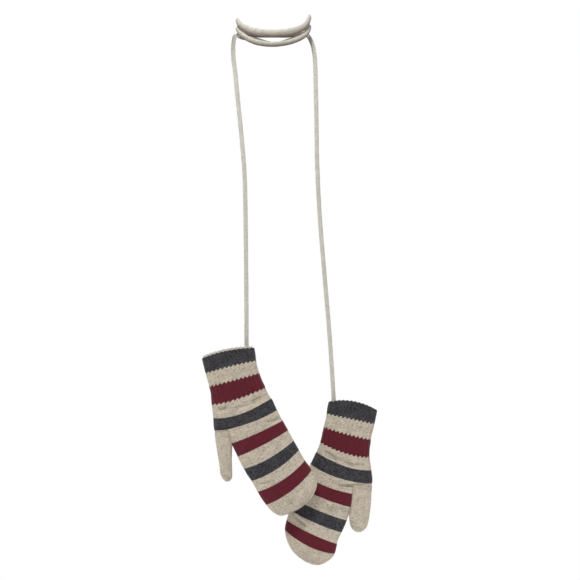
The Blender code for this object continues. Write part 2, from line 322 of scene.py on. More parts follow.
def through(xs, ys, at):
    """A smooth curve through the points (xs, ys), read at these places. xs rises."""
    xs = np.asarray(xs, float)
    ys = np.asarray(ys, float)
    at = np.clip(at, xs[0], xs[-1])
    slopes = np.gradient(ys, xs)
    k = np.clip(np.searchsorted(xs, at, side="right") - 1, 0, len(xs) - 2)
    width = xs[k + 1] - xs[k]
    t = (at - xs[k]) / width
    return (
        ys[k] * (1 + 2 * t) * (1 - t) ** 2
        + slopes[k] * width * t * (1 - t) ** 2
        + ys[k + 1] * t * t * (3 - 2 * t)
        + slopes[k + 1] * width * t * t * (t - 1)
    )


def lumps(x, y, size, seed):
    """Soft random unevenness from -1 to 1 whose lumps are about this many mm across."""
    random = np.random.default_rng(seed)
    total = np.zeros(np.broadcast(x, y).shape)
    for _ in range(7):
        turn = random.uniform(0, math.tau)
        pitch = size * random.uniform(1.5, 3.2)
        phase = random.uniform(0, math.tau)
        total = total + np.sin(math.tau * (x * math.cos(turn) + y * math.sin(turn)) / pitch + phase)
    return total / 4.0


# --- meshes ---
def make_piece(name, points, faces, uvs, material):
    """A smooth mesh from points in metres, faces as index lists, and one UV for each face corner."""
    mesh = bpy.data.meshes.new(name)
    mesh.from_pydata([tuple(p) for p in points], [], faces)
    layer = mesh.uv_layers.new(name="Knit")
    layer.data.foreach_set("uv", np.asarray(uvs, np.float32).ravel())
    mesh.shade_smooth()
    mesh.materials.append(material)
    piece = bpy.data.objects.new(name, mesh)
    bpy.context.scene.collection.objects.link(piece)
    return piece


def wrapped_quads(rows, columns, first=0, turn_over=False):
    """Faces and (row, column) corners between successive rings of a tube."""
    i, k = np.meshgrid(np.arange(rows - 1), np.arange(columns), indexing="ij")
    after = (k + 1) % columns
    corners = np.stack(
        [i * columns + k, i * columns + after, (i + 1) * columns + after, (i + 1) * columns + k], -1
    ).reshape(-1, 4)
    spots = np.stack(
        [np.stack(spot, -1) for spot in ((i, k), (i, k + 1), (i + 1, k + 1), (i + 1, k))], -2
    ).reshape(-1, 4, 2)
    if turn_over:
        corners = corners[:, ::-1]
        spots = spots[:, ::-1]
    return corners + first, spots


def shell(name, outer, inner, outer_v, inner_v, wales, material, capped):
    """A thick fabric tube: rings of points outside and inside, joined at the mouth and closed at the end."""
    columns = outer.shape[1]
    rows_out, rows_in = len(outer), len(inner)
    points = [outer.reshape(-1, 3), inner.reshape(-1, 3)]
    base = rows_out * columns
    faces = []
    uvs = []

    def add(corners, spots, levels):
        faces.extend(corners.tolist())
        u = spots[..., 1] / columns * wales
        uvs.append(np.stack([u, np.asarray(levels)[spots[..., 0]]], -1).reshape(-1, 2))

    add(*wrapped_quads(rows_out, columns), outer_v)
    add(*wrapped_quads(rows_in, columns, base, turn_over=True), inner_v)
    mouth, spots = wrapped_quads(2, columns)
    mouth = np.where(mouth >= columns, mouth - columns, mouth + base)
    add(mouth, spots, (inner_v[0], outer_v[0]))
    if capped:
        total = base + rows_in * columns
        tips = (outer[-1].mean(0), inner[-1].mean(0))
        points.append(np.array(tips))
        ring = np.arange(columns)
        after = (ring + 1) % columns
        last_out = (rows_out - 1) * columns
        last_in = base + (rows_in - 1) * columns
        caps = (
            (np.stack([ring + last_out, after + last_out, np.full(columns, total)], -1), outer_v[-1]),
            (np.stack([after + last_in, ring + last_in, np.full(columns, total + 1)], -1), inner_v[-1]),
        )
        for cap, level in caps:
            faces.extend(cap.tolist())
            uvs.append(np.full((columns * 3, 2), (0.0, level)))
    else:
        end, spots = wrapped_quads(2, columns)
        last_out = (rows_out - 1) * columns
        last_in = base + (rows_in - 1) * columns
        end = np.where(end >= columns, end - columns + last_in, end + last_out)
        add(end, spots, (outer_v[-1], inner_v[-1]))
    return make_piece(name, np.concatenate(points) * MM, faces, np.concatenate(uvs), material)


def yarn(name, path, radius, material, strands=3, twist=2.2, closed=False):
    """A plied yarn along a path in mm: the section is a round with one bulge for each strand."""
    sides = 12
    path = np.asarray(path, float)
    count = len(path)
    if closed:
        ahead, behind = np.roll(path, -1, 0), np.roll(path, 1, 0)
    else:
        ahead = np.vstack([path[1:], path[-1:]])
        behind = np.vstack([path[:1], path[:-1]])
    tangent = ahead - behind
    tangent /= np.linalg.norm(tangent, axis=1)[:, None]
    up = np.array((0.0, 1.0, 0.0))
    side = np.cross(tangent, up)
    side /= np.maximum(np.linalg.norm(side, axis=1), 1e-6)[:, None]
    normal = np.cross(side, tangent)
    walked = np.concatenate([[0.0], np.cumsum(np.linalg.norm(np.diff(path, axis=0), axis=1))])
    if closed:
        whole = walked[-1] + np.linalg.norm(path[0] - path[-1])
        turns = walked / whole * round(whole / (twist * radius * 2))
    else:
        turns = walked / (twist * radius * 2)
    angle = np.arange(sides) / sides * math.tau
    bulge = 1.0 + 0.16 * np.cos(strands * (angle[None, :] + turns[:, None] * math.tau / strands))
    ring = (
        path[:, None, :]
        + side[:, None, :] * (np.cos(angle)[None, :] * bulge * radius)[..., None]
        + normal[:, None, :] * (np.sin(angle)[None, :] * bulge * radius)[..., None]
    )
    faces, spots = wrapped_quads(count, sides)
    faces = faces.tolist()
    uvs = [np.stack([spots[..., 1] / sides * strands, walked[spots[..., 0]]], -1).reshape(-1, 2)]
    if closed:
        k = np.arange(sides)
        after = (k + 1) % sides
        last = (count - 1) * sides
        faces.extend(np.stack([last + k, last + after, after, k], -1).tolist())
        uvs.append(np.tile((0.0, walked[-1]), (sides * 4, 1)))
    else:
        faces.append(list(range(sides))[::-1])
        faces.append([(count - 1) * sides + k for k in range(sides)])
        uvs.append(np.zeros((sides * 2, 2)))
    return make_piece(name, ring.reshape(-1, 3) * MM, faces, np.concatenate(uvs), material)


# --- wool materials ---
# Colour, and how strongly the yarn is heathered
YARNS = {
    "oatmeal": (0.570, 0.510, 0.420, 0.6),
    # the facing's oatmeal painted paler, as painted light on its rim
    "oatmeal_painted_light": (0.720, 0.685, 0.620, 0.35),
    "charcoal": (0.0560, 0.0575, 0.0690, 1.5),
    "burgundy": (0.1200, 0.0155, 0.0255, 0.22),
    "cord": (0.645, 0.630, 0.560, 0.3),
}
HEATHER_TINTS = ((0.60, 0.46, 0.38, 1.0), (0.58, 0.68, 0.50, 1.0), (1.00, 0.70, 0.68, 1.0))
# Painted shade on the underside of the cord's turns round the neck: its colour, the stretch of cord it
# covers, and how long it fades in and out
UNDERSIDE_SHADE_COLOUR = (0.235, 0.185, 0.150, 1.0)
UNDERSIDE_SHADE_STRETCH = (520, 1400)  # mm along the cord
UNDERSIDE_SHADE_FADE = 60


class Nodes:
    """Short names for the nodes of one material."""

    def __init__(self, name):
        self.material = bpy.data.materials.new(name)
        self.material.use_nodes = True
        self.tree = self.material.node_tree
        self.shader = self.tree.nodes["Principled BSDF"]

    def add(self, kind, **settings):
        node = self.tree.nodes.new(kind)
        for key, value in settings.items():
            setattr(node, key, value)
        return node

    def put(self, socket, value):
        if isinstance(value, bpy.types.NodeSocket):
            self.tree.links.new(value, socket)
        else:
            socket.default_value = value

    def math(self, operation, a, b=0.0, c=0.0):
        node = self.add("ShaderNodeMath", operation=operation)
        for socket, value in zip(node.inputs, (a, b, c)):
            self.put(socket, value)
        return node.outputs[0]

    def range(self, value, low, high, to_low, to_high):
        node = self.add("ShaderNodeMapRange")
        for socket, item in zip(node.inputs, (value, low, high, to_low, to_high)):
            self.put(socket, item)
        return node.outputs[0]

    def noise(self, vector, scale, detail=2.0, roughness=0.5):
        node = self.add("ShaderNodeTexNoise")
        self.put(node.inputs["Vector"], vector)
        node.inputs["Scale"].default_value = scale
        node.inputs["Detail"].default_value = detail
        node.inputs["Roughness"].default_value = roughness
        return node

    def mix(self, share, a, b, blend="MIX"):
        node = self.add("ShaderNodeMix", data_type="RGBA", blend_type=blend)
        self.put(node.inputs[0], share)
        self.put(node.inputs[6], a)
        self.put(node.inputs[7], b)
        return node.outputs[2]


def knit_height(nodes, wale, row, ribbed):
    """Relief of the stitches from 0 to 1: V-shaped legs, and bars in the ribbing's valleys."""
    across = nodes.math("SUBTRACT", nodes.math("FRACT", wale), 0.5)
    off = nodes.math("ABSOLUTE", across)
    from_leg = nodes.math("ABSOLUTE", nodes.math("SUBTRACT", off, LEG_OFFSET))
    leg = nodes.math("SUBTRACT", 1.0, nodes.math("MULTIPLY", from_leg, LEG_SHARPNESS))
    leg = nodes.math("MAXIMUM", leg, 0.0)
    slant = nodes.math("SUBTRACT", row, nodes.math("MULTIPLY", off, LEG_SLANT))
    wave = nodes.math("ABSOLUTE", nodes.math("SINE", nodes.math("MULTIPLY", slant, math.pi)))
    knit = nodes.math("MULTIPLY", nodes.math("POWER", leg, 0.6), nodes.math("POWER", wave, 0.5))
    bar = nodes.math("ABSOLUTE", nodes.math("SINE", nodes.math("MULTIPLY", row, math.pi)))
    odd = nodes.math("GREATER_THAN", nodes.math("FRACT", nodes.math("MULTIPLY", wale, 0.5)), 0.5)
    purled = nodes.math("MULTIPLY", odd, ribbed)
    node = nodes.add("ShaderNodeMix", data_type="FLOAT")
    nodes.put(node.inputs[0], purled)
    nodes.put(node.inputs[2], knit)
    nodes.put(node.inputs[3], bar)
    return node.outputs[0]


def stripes(nodes, yarns, edges, wale, course, ribbed, fibre):
    """Colour and heathering by the course, with colour changes that follow the stitches and the ribs."""
    jag = nodes.math("SINE", nodes.math("MULTIPLY", nodes.math("ADD", wale, 0.25), math.pi))
    jag = nodes.range(jag, -0.45, 0.45, -1.0, 1.0)
    jag = nodes.math("MULTIPLY", jag, ribbed)
    legs = nodes.math("ABSOLUTE", nodes.math("SUBTRACT", nodes.math("FRACT", wale), 0.5))
    legs = nodes.math("MULTIPLY", nodes.math("SUBTRACT", 0.25, legs), 0.8 * COURSE)
    ragged = nodes.math("MULTIPLY", nodes.math("SUBTRACT", fibre, 0.5), 1.3)
    level = nodes.math("ADD", nodes.math("ADD", course, jag), nodes.math("ADD", ragged, legs))
    ramp = nodes.add("ShaderNodeValToRGB")
    nodes.put(ramp.inputs[0], nodes.math("DIVIDE", level, FABRIC_END))
    ramp.color_ramp.interpolation = "CONSTANT"
    stops = ramp.color_ramp.elements
    stops.remove(stops[1])
    stops[0].position = 0.0
    stops[0].color = YARNS[yarns[0]]
    for edge, yarn_name in zip(edges, yarns[1:]):
        stops.new(edge / FABRIC_END).color = YARNS[yarn_name]
    return ramp.outputs


def painted_underside_shade(nodes, base, wale, course, painted_shade_from, painted_shade_to):
    """Painted shade: the cord's colour turns darker and browner towards its lower side, between these places
    along it, which are its turns round the neck.
    """
    side = nodes.math("COSINE", nodes.math("MULTIPLY", wale, math.tau / (2 * CORD_WALES)))
    lower = nodes.range(side, -0.7, 0.8, 1.0, 0.0)
    begun = nodes.range(course, painted_shade_from - UNDERSIDE_SHADE_FADE, painted_shade_from, 0.0, 1.0)
    unfinished = nodes.range(course, painted_shade_to, painted_shade_to + UNDERSIDE_SHADE_FADE, 1.0, 0.0)
    share = nodes.math("MULTIPLY", lower, nodes.math("MULTIPLY", begun, unfinished))
    return nodes.mix(share, base, UNDERSIDE_SHADE_COLOUR)


def wool(name, yarns, edges=(), wales_width=STITCH_WIDTH, ribbed_to=None, stitch=1.0, underside_shade=None):
    """Knitted wool in one colour or in stripes, with heathered flecks, felted fuzz and stitches, painted
    shade in the stitches' grooves, and painted shade on the cord's underside where asked.
    """
    nodes = Nodes(name)
    uv = nodes.add("ShaderNodeUVMap", uv_map="Knit").outputs[0]
    split = nodes.add("ShaderNodeSeparateXYZ")
    nodes.put(split.inputs[0], uv)
    wale, course = split.outputs[0], split.outputs[1]
    metric = nodes.add("ShaderNodeCombineXYZ")
    nodes.put(metric.inputs[0], nodes.math("MULTIPLY", wale, wales_width))
    nodes.put(metric.inputs[1], course)
    place = metric.outputs[0]
    row = nodes.math("DIVIDE", course, COURSE)
    ribbed = nodes.math("LESS_THAN", course, ribbed_to) if ribbed_to else 0.0

    blotch = nodes.noise(place, 0.075, 3.0, 0.6)
    mottle = nodes.noise(place, 0.34, 4.0, 0.62)
    fibre = nodes.noise(place, 1.1, 4.0, 0.7)

    if edges:
        base, heather = stripes(nodes, yarns, edges, wale, course, ribbed, fibre.outputs[0])
    else:
        colour = nodes.add("ShaderNodeRGB")
        colour.outputs[0].default_value = (*YARNS[yarns[0]][:3], 1.0)
        base, heather = colour.outputs[0], YARNS[yarns[0]][3]
    # Painted shade: the cord's lower side is coloured darker and browner round the neck
    if underside_shade:
        base = painted_underside_shade(nodes, base, wale, course, *underside_shade)

    # Uneven dye: broad blotches, mottling a few stitches wide, then single fibres
    spots = nodes.math("MULTIPLY", nodes.math("SUBTRACT", mottle.outputs[0], 0.5), 3.6)
    specks = nodes.math("MULTIPLY", nodes.math("SUBTRACT", fibre.outputs[0], 0.5), 3.2)
    broad = nodes.math("MULTIPLY", nodes.math("SUBTRACT", blotch.outputs[0], 0.5), 1.0)
    uneven = nodes.math("ADD", nodes.math("ADD", spots, specks), broad)
    shade = nodes.math("MAXIMUM", nodes.math("ADD", 1.0, nodes.math("MULTIPLY", uneven, heather)), 0.3)
    grey = nodes.add("ShaderNodeCombineColor")
    for socket in grey.inputs:
        nodes.put(socket, shade)
    toned = nodes.mix(1.0, base, grey.outputs[0], "MULTIPLY")
    hues = nodes.add("ShaderNodeSeparateColor")
    nodes.put(hues.inputs[0], mottle.outputs[1])
    for k, tint in enumerate(HEATHER_TINTS):
        amount = nodes.range(hues.outputs[k], 0.52, 0.68, 0.0, 1.0)
        toned = nodes.mix(nodes.math("MULTIPLY", amount, heather), toned, tint, "MULTIPLY")

    stitches = knit_height(nodes, wale, row, ribbed)
    # Painted shade and highlight: the colour is darker in the grooves between the stitches' legs and in the
    # ribbing's valleys, and a little lighter on top of the legs
    painted_groove_shade = nodes.range(stitches, 0.0, 0.8, 0.78, 1.06)
    groove = nodes.add("ShaderNodeCombineColor")
    for socket in groove.inputs:
        nodes.put(socket, painted_groove_shade)
    knitted = nodes.mix(0.85 * stitch, toned, groove.outputs[0], "MULTIPLY")
    nodes.put(nodes.shader.inputs["Base Color"], knitted)

    fuzz = nodes.noise(place, 2.6, 3.0, 0.7).outputs[0]
    height = nodes.math("MULTIPLY", stitches, 0.8 * stitch)
    height = nodes.math("ADD", height, nodes.math("MULTIPLY", fuzz, 0.5))
    height = nodes.math("ADD", height, nodes.math("MULTIPLY", mottle.outputs[0], 0.6))
    bump = nodes.add("ShaderNodeBump")
    bump.inputs["Strength"].default_value = 0.8
    bump.inputs["Distance"].default_value = 0.0012
    nodes.put(bump.inputs["Height"], height)
    nodes.put(nodes.shader.inputs["Normal"], bump.outputs[0])

    shader = nodes.shader
    nodes.put(shader.inputs["Roughness"], nodes.range(fuzz, 0.3, 0.7, 0.88, 1.0))
    shader.inputs["Specular IOR Level"].default_value = 0.05
    shader.inputs["Sheen Weight"].default_value = 0.12
    shader.inputs["Sheen Roughness"].default_value = 0.5
    return nodes.material


# --- the mittens' shape ---
def spine_of(mitten):
    """The spine in mm, as rows of along, x, z and tilt in radians."""
    along = np.arange(-30.0, 300.0, SPINE_STEP)
    share = smooth_step(along, BEND_FROM, BEND_TO)
    tilt = np.radians(mitten["cuff_tilt"] + share * (mitten["hand_tilt"] - mitten["cuff_tilt"]))
    x = np.cumsum(np.sin(tilt)) * SPINE_STEP
    z = -np.cumsum(np.cos(tilt)) * SPINE_STEP
    start = np.searchsorted(along, 0.0)
    return along, x - x[start] + mitten["mouth"][0], z - z[start] + mitten["mouth"][2], tilt


def reach(mitten, along):
    """How far the fabric reaches to the left and the right of the spine."""
    table = np.array(mitten["outline"], float)
    end = table[-1, 0]
    back = np.sqrt(np.clip(end - np.asarray(along, float), 0.0, None))
    xs = np.sqrt(end - table[::-1, 0])
    return through(xs, table[::-1, 1], back), through(xs, table[::-1, 2], back)


def half_thickness(mitten, along):
    end = mitten["outline"][-1][0]
    into = np.clip((along - (end - TIP_ROUNDING)) / TIP_ROUNDING, 0.0, 1.0)
    puff = 1.0 + PUFF * np.exp(-(((along - PUFF_AT) / PUFF_LENGTH) ** 2))
    return HALF_THICKNESS * puff * np.sqrt(np.clip(1.0 - into**3.0, 0.0, 1.0))


def section(count, half_ratio=0.26):
    """Shares across and through a flattened round outline, evenly spaced along it."""
    turn = np.linspace(0.0, math.tau, 4001)
    wide = np.sign(np.cos(turn)) * np.abs(np.cos(turn)) ** (2 / ROUNDNESS)
    deep = np.sign(np.sin(turn)) * np.abs(np.sin(turn)) ** (2 / ROUNDNESS)
    steps = np.hypot(np.diff(wide), np.diff(deep) * half_ratio)
    walked = np.concatenate([[0.0], np.cumsum(steps)])
    at = np.arange(count) / count * walked[-1]
    return np.interp(at, walked, wide), np.interp(at, walked, deep)


def crease_relief(mitten, wide, deep, course):
    """Soft folds in the front: a groove with a swelling on its upper side."""
    total = np.zeros(len(wide))
    for at, share, turn, length, width, depth in mitten["creases"]:
        dx = (wide - share) * CREASE_SHARE_TO_MM
        dy = course - at
        lean = math.radians(turn)
        beside = dx * math.cos(lean) + dy * math.sin(lean)
        over = -dx * math.sin(lean) + dy * math.cos(lean)
        fade = np.exp(-((beside / length) ** 2))
        groove = np.exp(-((over / width) ** 2))
        swell = np.exp(-(((over + 1.7 * width) / (1.5 * width)) ** 2))
        total += fade * (min(0.9 * depth, CREASE_SWELL) * swell - 1.6 * depth * groove)
    return total * (deep < 0.0) * np.abs(deep) ** 0.5


def stitch_relief(wale, course):
    """The V-shaped legs of the stitches, from 0 to 1."""
    off = np.abs(wale % 1.0 - 0.5)
    leg = np.clip(1.0 - np.abs(off - LEG_OFFSET) * LEG_SHARPNESS, 0.0, 1.0)
    return leg**0.6 * np.abs(np.sin(math.pi * (course / COURSE - LEG_SLANT * off))) ** 0.5


def relief(seed, wale, course):
    """How far the outer face stands out: ribs, stitches and the unevenness of soft fabric."""
    rib_share = 1.0 - smooth_step(course, RIB_END - 3.0, RIB_END + 2.0)
    rib = np.cos(math.tau * wale / 2.0)
    rib = np.sign(rib) * np.abs(rib) ** 0.7 * RIB_HEIGHT * rib_share
    across = wale * STITCH_WIDTH
    soft = 0.55 * lumps(across, course, 22.0, seed) + 0.22 * lumps(across, course, 8.0, seed + 1)
    fade = smooth_step(course, 0.0, 18.0) * (1.0 - smooth_step(course, 262.0, 275.0))
    return rib + (stitch_relief(wale, course) - 0.5) * STITCH_HEIGHT + soft * fade


def under_thumb(mitten, x, z, margin):
    """From 0 to 1, how far these places lie within the opening that the thumb is knitted from."""
    tilt = math.radians(mitten["thumb_tilt"])
    top = mitten["thumb_top"]
    along = (x - top[0]) * math.sin(tilt) - (z - top[2]) * math.cos(tilt)
    inwards = ((x - top[0]) * math.cos(tilt) + (z - top[2]) * math.sin(tilt)) * -mitten["thumb_side"]
    table = np.array(mitten["thumb_outline"], float)
    inner_reach = np.interp(along, table[:, 0], table[:, 2 if mitten["thumb_side"] < 0 else 1])
    below = smooth_step(along, mitten["thumb_from"] - margin, mitten["thumb_from"] - margin + 4.0)
    return below * smooth_step(inner_reach - inwards, -margin, 3.0 - margin)


def fabric_rows(mitten, seed, courses, shares, inset=0.0, outside=True, raise_by=None):
    """Rings of points for these courses, inset from the outer face by this many mm."""
    wide, deep = shares
    columns = len(wide)
    wale = np.arange(columns) / columns * WALES
    table = np.array(mitten["courses"], float)
    alongs, xs, zs, tilts = mitten["spine"]
    rings = []
    for row, course in enumerate(courses):
        left_at, middle_at, right_at = (through(table[:, 0], table[:, k], course) for k in (1, 2, 3))
        bow = (right_at + left_at) / 2 - middle_at
        along = middle_at + (right_at - left_at) / 2 * wide + bow * wide**2
        if raise_by is not None:
            along = along + raise_by[row]
        left, right = reach(mitten, along)
        thick = half_thickness(mitten, along)
        half = np.maximum((left + right) / 2, 0.2)
        # Outward direction of the section, square to its outline
        out_wide = np.sign(wide) * np.abs(wide) ** (ROUNDNESS - 1) / half
        out_deep = np.sign(deep) * np.abs(deep) ** (ROUNDNESS - 1) / np.maximum(thick, 0.2)
        size = np.maximum(np.hypot(out_wide, out_deep), 1e-9)
        tilt = np.interp(along, alongs, tilts)
        spine_x = np.interp(along, alongs, xs)
        spine_z = np.interp(along, alongs, zs)
        off = np.full(columns, -inset)
        if outside:
            acr = (right - left) / 2 + half * wide
            place = (spine_x + np.cos(tilt) * acr, spine_z + np.sin(tilt) * acr)
            raised = relief(seed, wale, np.full(columns, course))
            off = off + raised * (1.0 - under_thumb(mitten, *place, 3.0))
            off = off + crease_relief(mitten, wide, deep, course)
            off = off - OPENING_DEPTH * under_thumb(mitten, *place, -1.5)
        off = np.maximum(off, -np.minimum(half, np.maximum(thick, 0.2)) * 0.8)
        acr = (right - left) / 2 + half * wide + off * out_wide / size
        depth = thick * deep + off * out_deep / size
        x = spine_x + np.cos(tilt) * acr
        z = spine_z + np.sin(tilt) * acr
        rings.append(np.stack([x, mitten["mouth"][1] + depth, z], -1))
    return np.array(rings)


def palm_depth(mitten, x, z):
    """Half the palm's thickness at these places, nothing beyond its edges."""
    alongs, xs, zs, tilts = mitten["spine"]
    gap = (x[..., None] - xs) ** 2 + (z[..., None] - zs) ** 2
    near = np.argmin(gap, -1)
    along = alongs[near]
    acr = (x - xs[near]) * np.cos(tilts[near]) + (z - zs[near]) * np.sin(tilts[near])
    left, right = reach(mitten, along)
    share = np.clip(np.abs(acr - (right - left) / 2) / ((left + right) / 2), 0.0, 1.0)
    return half_thickness(mitten, along) * (1.0 - share**ROUNDNESS) ** (1.0 / ROUNDNESS)


def at_thumb(mitten, along):
    tilt = math.radians(mitten["thumb_tilt"])
    x, y, z = mitten["thumb_top"]
    return (x + math.sin(tilt) * along) * MM, y * MM, (z - math.cos(tilt) * along) * MM


def thumb_rows(mitten, seed, stations, shares, inset=0.0, outside=True):
    """Rings of points for these places along the thumb, inset from the outer face by this many mm."""
    wide, deep = shares
    columns = len(wide)
    wale = np.arange(columns) / columns * THUMB_WALES
    table = np.array(mitten["thumb_outline"], float)
    end = table[-1, 0]
    xs = np.sqrt(end - table[::-1, 0])
    tilt = math.radians(mitten["thumb_tilt"])
    top = mitten["thumb_top"]
    inner_side = -mitten["thumb_side"]
    rings = []
    for along in stations:
        back = math.sqrt(max(end - along, 0.0))
        left = through(xs, table[::-1, 1], back)
        right = through(xs, table[::-1, 2], back)
        half = max((left + right) / 2, 0.2)
        into = min(max((along - (end - THUMB_ROUNDING)) / THUMB_ROUNDING, 0.0), 1.0)
        thick = max(THUMB_HALF_THICKNESS * math.sqrt(1.0 - into**3), 0.2)
        out_wide = np.sign(wide) * np.abs(wide) ** (ROUNDNESS - 1) / half
        out_deep = np.sign(deep) * np.abs(deep) ** (ROUNDNESS - 1) / thick
        size = np.maximum(np.hypot(out_wide, out_deep), 1e-9)
        off = np.full(columns, -inset)
        if outside:
            soft = 0.4 * lumps(wale * 3.0, np.full(columns, along), 14.0, seed)
            off = off + (stitch_relief(wale, along) - 0.5) * STITCH_HEIGHT + soft * (1.0 - into)
        off = np.maximum(off, -min(half, thick) * 0.8)
        tuck = 0.8 * (1.0 - smooth_step(along, mitten["thumb_from"], mitten["thumb_from"] + 6.0))
        off = off - tuck * smooth_step(-wide * inner_side, 0.3, 0.9)
        acr = (right - left) / 2 + half * wide + off * out_wide / size
        depth = thick * deep + off * out_deep / size
        x = top[0] + math.sin(tilt) * along + math.cos(tilt) * acr
        z = top[2] - math.cos(tilt) * along + math.sin(tilt) * acr
        if outside:
            # Picked up from the palm: the first rows lie on its surface
            hug = (1.0 - smooth_step(along, mitten["thumb_from"] + 1.0, mitten["thumb_from"] + 20.0))
            hug = hug * (1.0 - smooth_step(wide * inner_side, 0.72, 0.96))
            lying = np.sign(deep) * (palm_depth(mitten, x, z) + 0.25)
            flat = np.abs(deep) ** 0.25
            depth = depth * (1.0 - hug) + lying * hug * flat + depth * hug * (1 - flat)
        rings.append(np.stack([x, top[1] + depth, z], -1))
    return np.array(rings)


# --- camera, lights and floor ---
SENSOR = 36.0
CAMERA_DISTANCE = 2.5
VIEW_WIDTH = 0.928  # at the mittens
VIEW_MIDDLE = (0.0264, -0.424)  # x and z
FILL_LIGHT = 0.30
LIGHT_TARGET = np.array((0.0, 0.0, -0.5))
# Name, place, size and power
LIGHTS = (
    ("key", (-0.4, -1.5, 1.85), 0.6, 68.0),
    ("left", (-2.0, -0.4, -0.1), 1.2, 11.0),
    ("right", (2.1, -0.4, -0.1), 1.2, 15.0),
    ("back", (-0.5, 2.2, 0.9), 1.2, 40.0),
)
FLOOR_Z = -1.35
FLOOR_RADIUS = 1.3
WORLD_WHITE = (1.0, 1.0, 1.0, 1.0)


def make_camera():
    """The photograph's view: straight from the front, from the middle of the object's height."""
    data = bpy.data.cameras.new("camera")
    data.sensor_width = SENSOR
    data.lens = SENSOR * CAMERA_DISTANCE / VIEW_WIDTH
    camera = bpy.data.objects.new("camera", data)
    camera.location = (VIEW_MIDDLE[0], -CAMERA_DISTANCE, VIEW_MIDDLE[1])
    camera.rotation_euler = (math.pi / 2, 0.0, 0.0)
    scene.collection.objects.link(camera)
    scene.camera = camera


def make_world():
    """A white background that lights the object only weakly."""
    world = bpy.data.worlds.new("studio")
    world.use_nodes = True
    scene.world = world
    sky = world.node_tree.nodes["Background"]
    sky.inputs[0].default_value = WORLD_WHITE
    seen = world.node_tree.nodes.new("ShaderNodeLightPath")
    strength = world.node_tree.nodes.new("ShaderNodeMapRange")
    strength.inputs["To Min"].default_value = FILL_LIGHT
    strength.inputs["To Max"].default_value = 1.0
    world.node_tree.links.new(seen.outputs["Is Camera Ray"], strength.inputs["Value"])
    world.node_tree.links.new(strength.outputs[0], sky.inputs[1])


def add_light(name, place, size, watts):
    data = bpy.data.lights.new(name, "AREA")
    data.shape = "DISK"
    data.size = size
    data.energy = watts
    light = bpy.data.objects.new(name, data)
    light.location = place
    aim = LIGHT_TARGET - np.array(place)
    light.rotation_euler = (
        math.acos(-aim[2] / np.linalg.norm(aim)),
        0.0,
        math.atan2(aim[1], aim[0]) - math.pi / 2,
    )
    scene.collection.objects.link(light)


def make_floor():
    """A round white floor below the mittens."""
    mesh = bpy.data.meshes.new("floor")
    rim = [math.tau * k / 96 for k in range(96)]
    points = [(FLOOR_RADIUS * math.cos(turn), FLOOR_RADIUS * math.sin(turn), FLOOR_Z) for turn in rim]
    mesh.from_pydata(points, [], [list(range(96))])
    mesh.uv_layers.new(name="Knit")
    floor = bpy.data.objects.new("floor", mesh)
    scene.collection.objects.link(floor)
    nodes = Nodes("floor")
    nodes.shader.inputs["Base Color"].default_value = (0.9, 0.9, 0.9, 1.0)
    nodes.shader.inputs["Roughness"].default_value = 1.0
    nodes.shader.inputs["Specular IOR Level"].default_value = 0.0
    nodes.shader.inputs["Emission Color"].default_value = WORLD_WHITE
    nodes.shader.inputs["Emission Strength"].default_value = 0.6
    mesh.materials.append(nodes.material)


scene = bpy.context.scene
scene.view_settings.view_transform = "Standard"
make_camera()
make_world()
for light in LIGHTS:
    add_light(*light)
make_floor()


# --- cord ---
def neck_route():
    """The route's points and the cord's width at each of them."""
    route = [np.array(p) for p in LEFT_DROP]
    widths = [CORD_WIDTH_DROP] * len(route)
    start = -NECK_ACROSS
    for number, (to, reach_y, out, heights, half_way_width) in enumerate(NECK_PASSES):
        if number:
            route.append(np.array((start, 0.0, heights[0])))
            widths.append(CORD_WIDTH_NECK)
        end = to * (NECK_ACROSS + out)
        for k in range(1, NECK_STEPS):
            turn = math.pi * k / NECK_STEPS
            crossed = (1 - math.cos(turn)) / 2
            route.append(np.array((start + (end - start) * crossed, reach_y * math.sin(turn), heights[k])))
            widths.append(CORD_WIDTH_NECK + (half_way_width - CORD_WIDTH_NECK) * math.sin(turn))
        start = to * NECK_ACROSS
    route += [np.array(p) for p in RIGHT_DROP]
    widths += [CORD_WIDTH_DROP] * len(RIGHT_DROP)
    below = np.array((0.0, 0.0, CORD_END_BELOW))
    return [route[0] - below] + route + [route[-1] - below], [widths[0]] + widths + [widths[-1]]


def even_path(route, step):
    """A smooth curve through the route at even steps, how far along it each step is, and each route point."""
    splits = 24
    dense = []
    for k in range(len(route) - 1):
        before, here = route[max(k - 1, 0)], route[k]
        after, beyond = route[k + 1], route[min(k + 2, len(route) - 1)]
        for t in np.linspace(0, 1, splits, endpoint=False):
            dense.append(
                0.5
                * (
                    2 * here
                    + (after - before) * t
                    + (2 * before - 5 * here + 4 * after - beyond) * t**2
                    + (3 * here - before - 3 * after + beyond) * t**3
                )
            )
    dense.append(route[-1])
    dense = np.array(dense)
    walked = np.concatenate([[0.0], np.cumsum(np.linalg.norm(np.diff(dense, axis=0), axis=1))])
    count = int(round(walked[-1] / step)) + 1
    at = np.linspace(0.0, walked[-1], count)
    return np.stack([np.interp(at, walked, dense[:, k]) for k in range(3)], -1), at, walked[::splits]


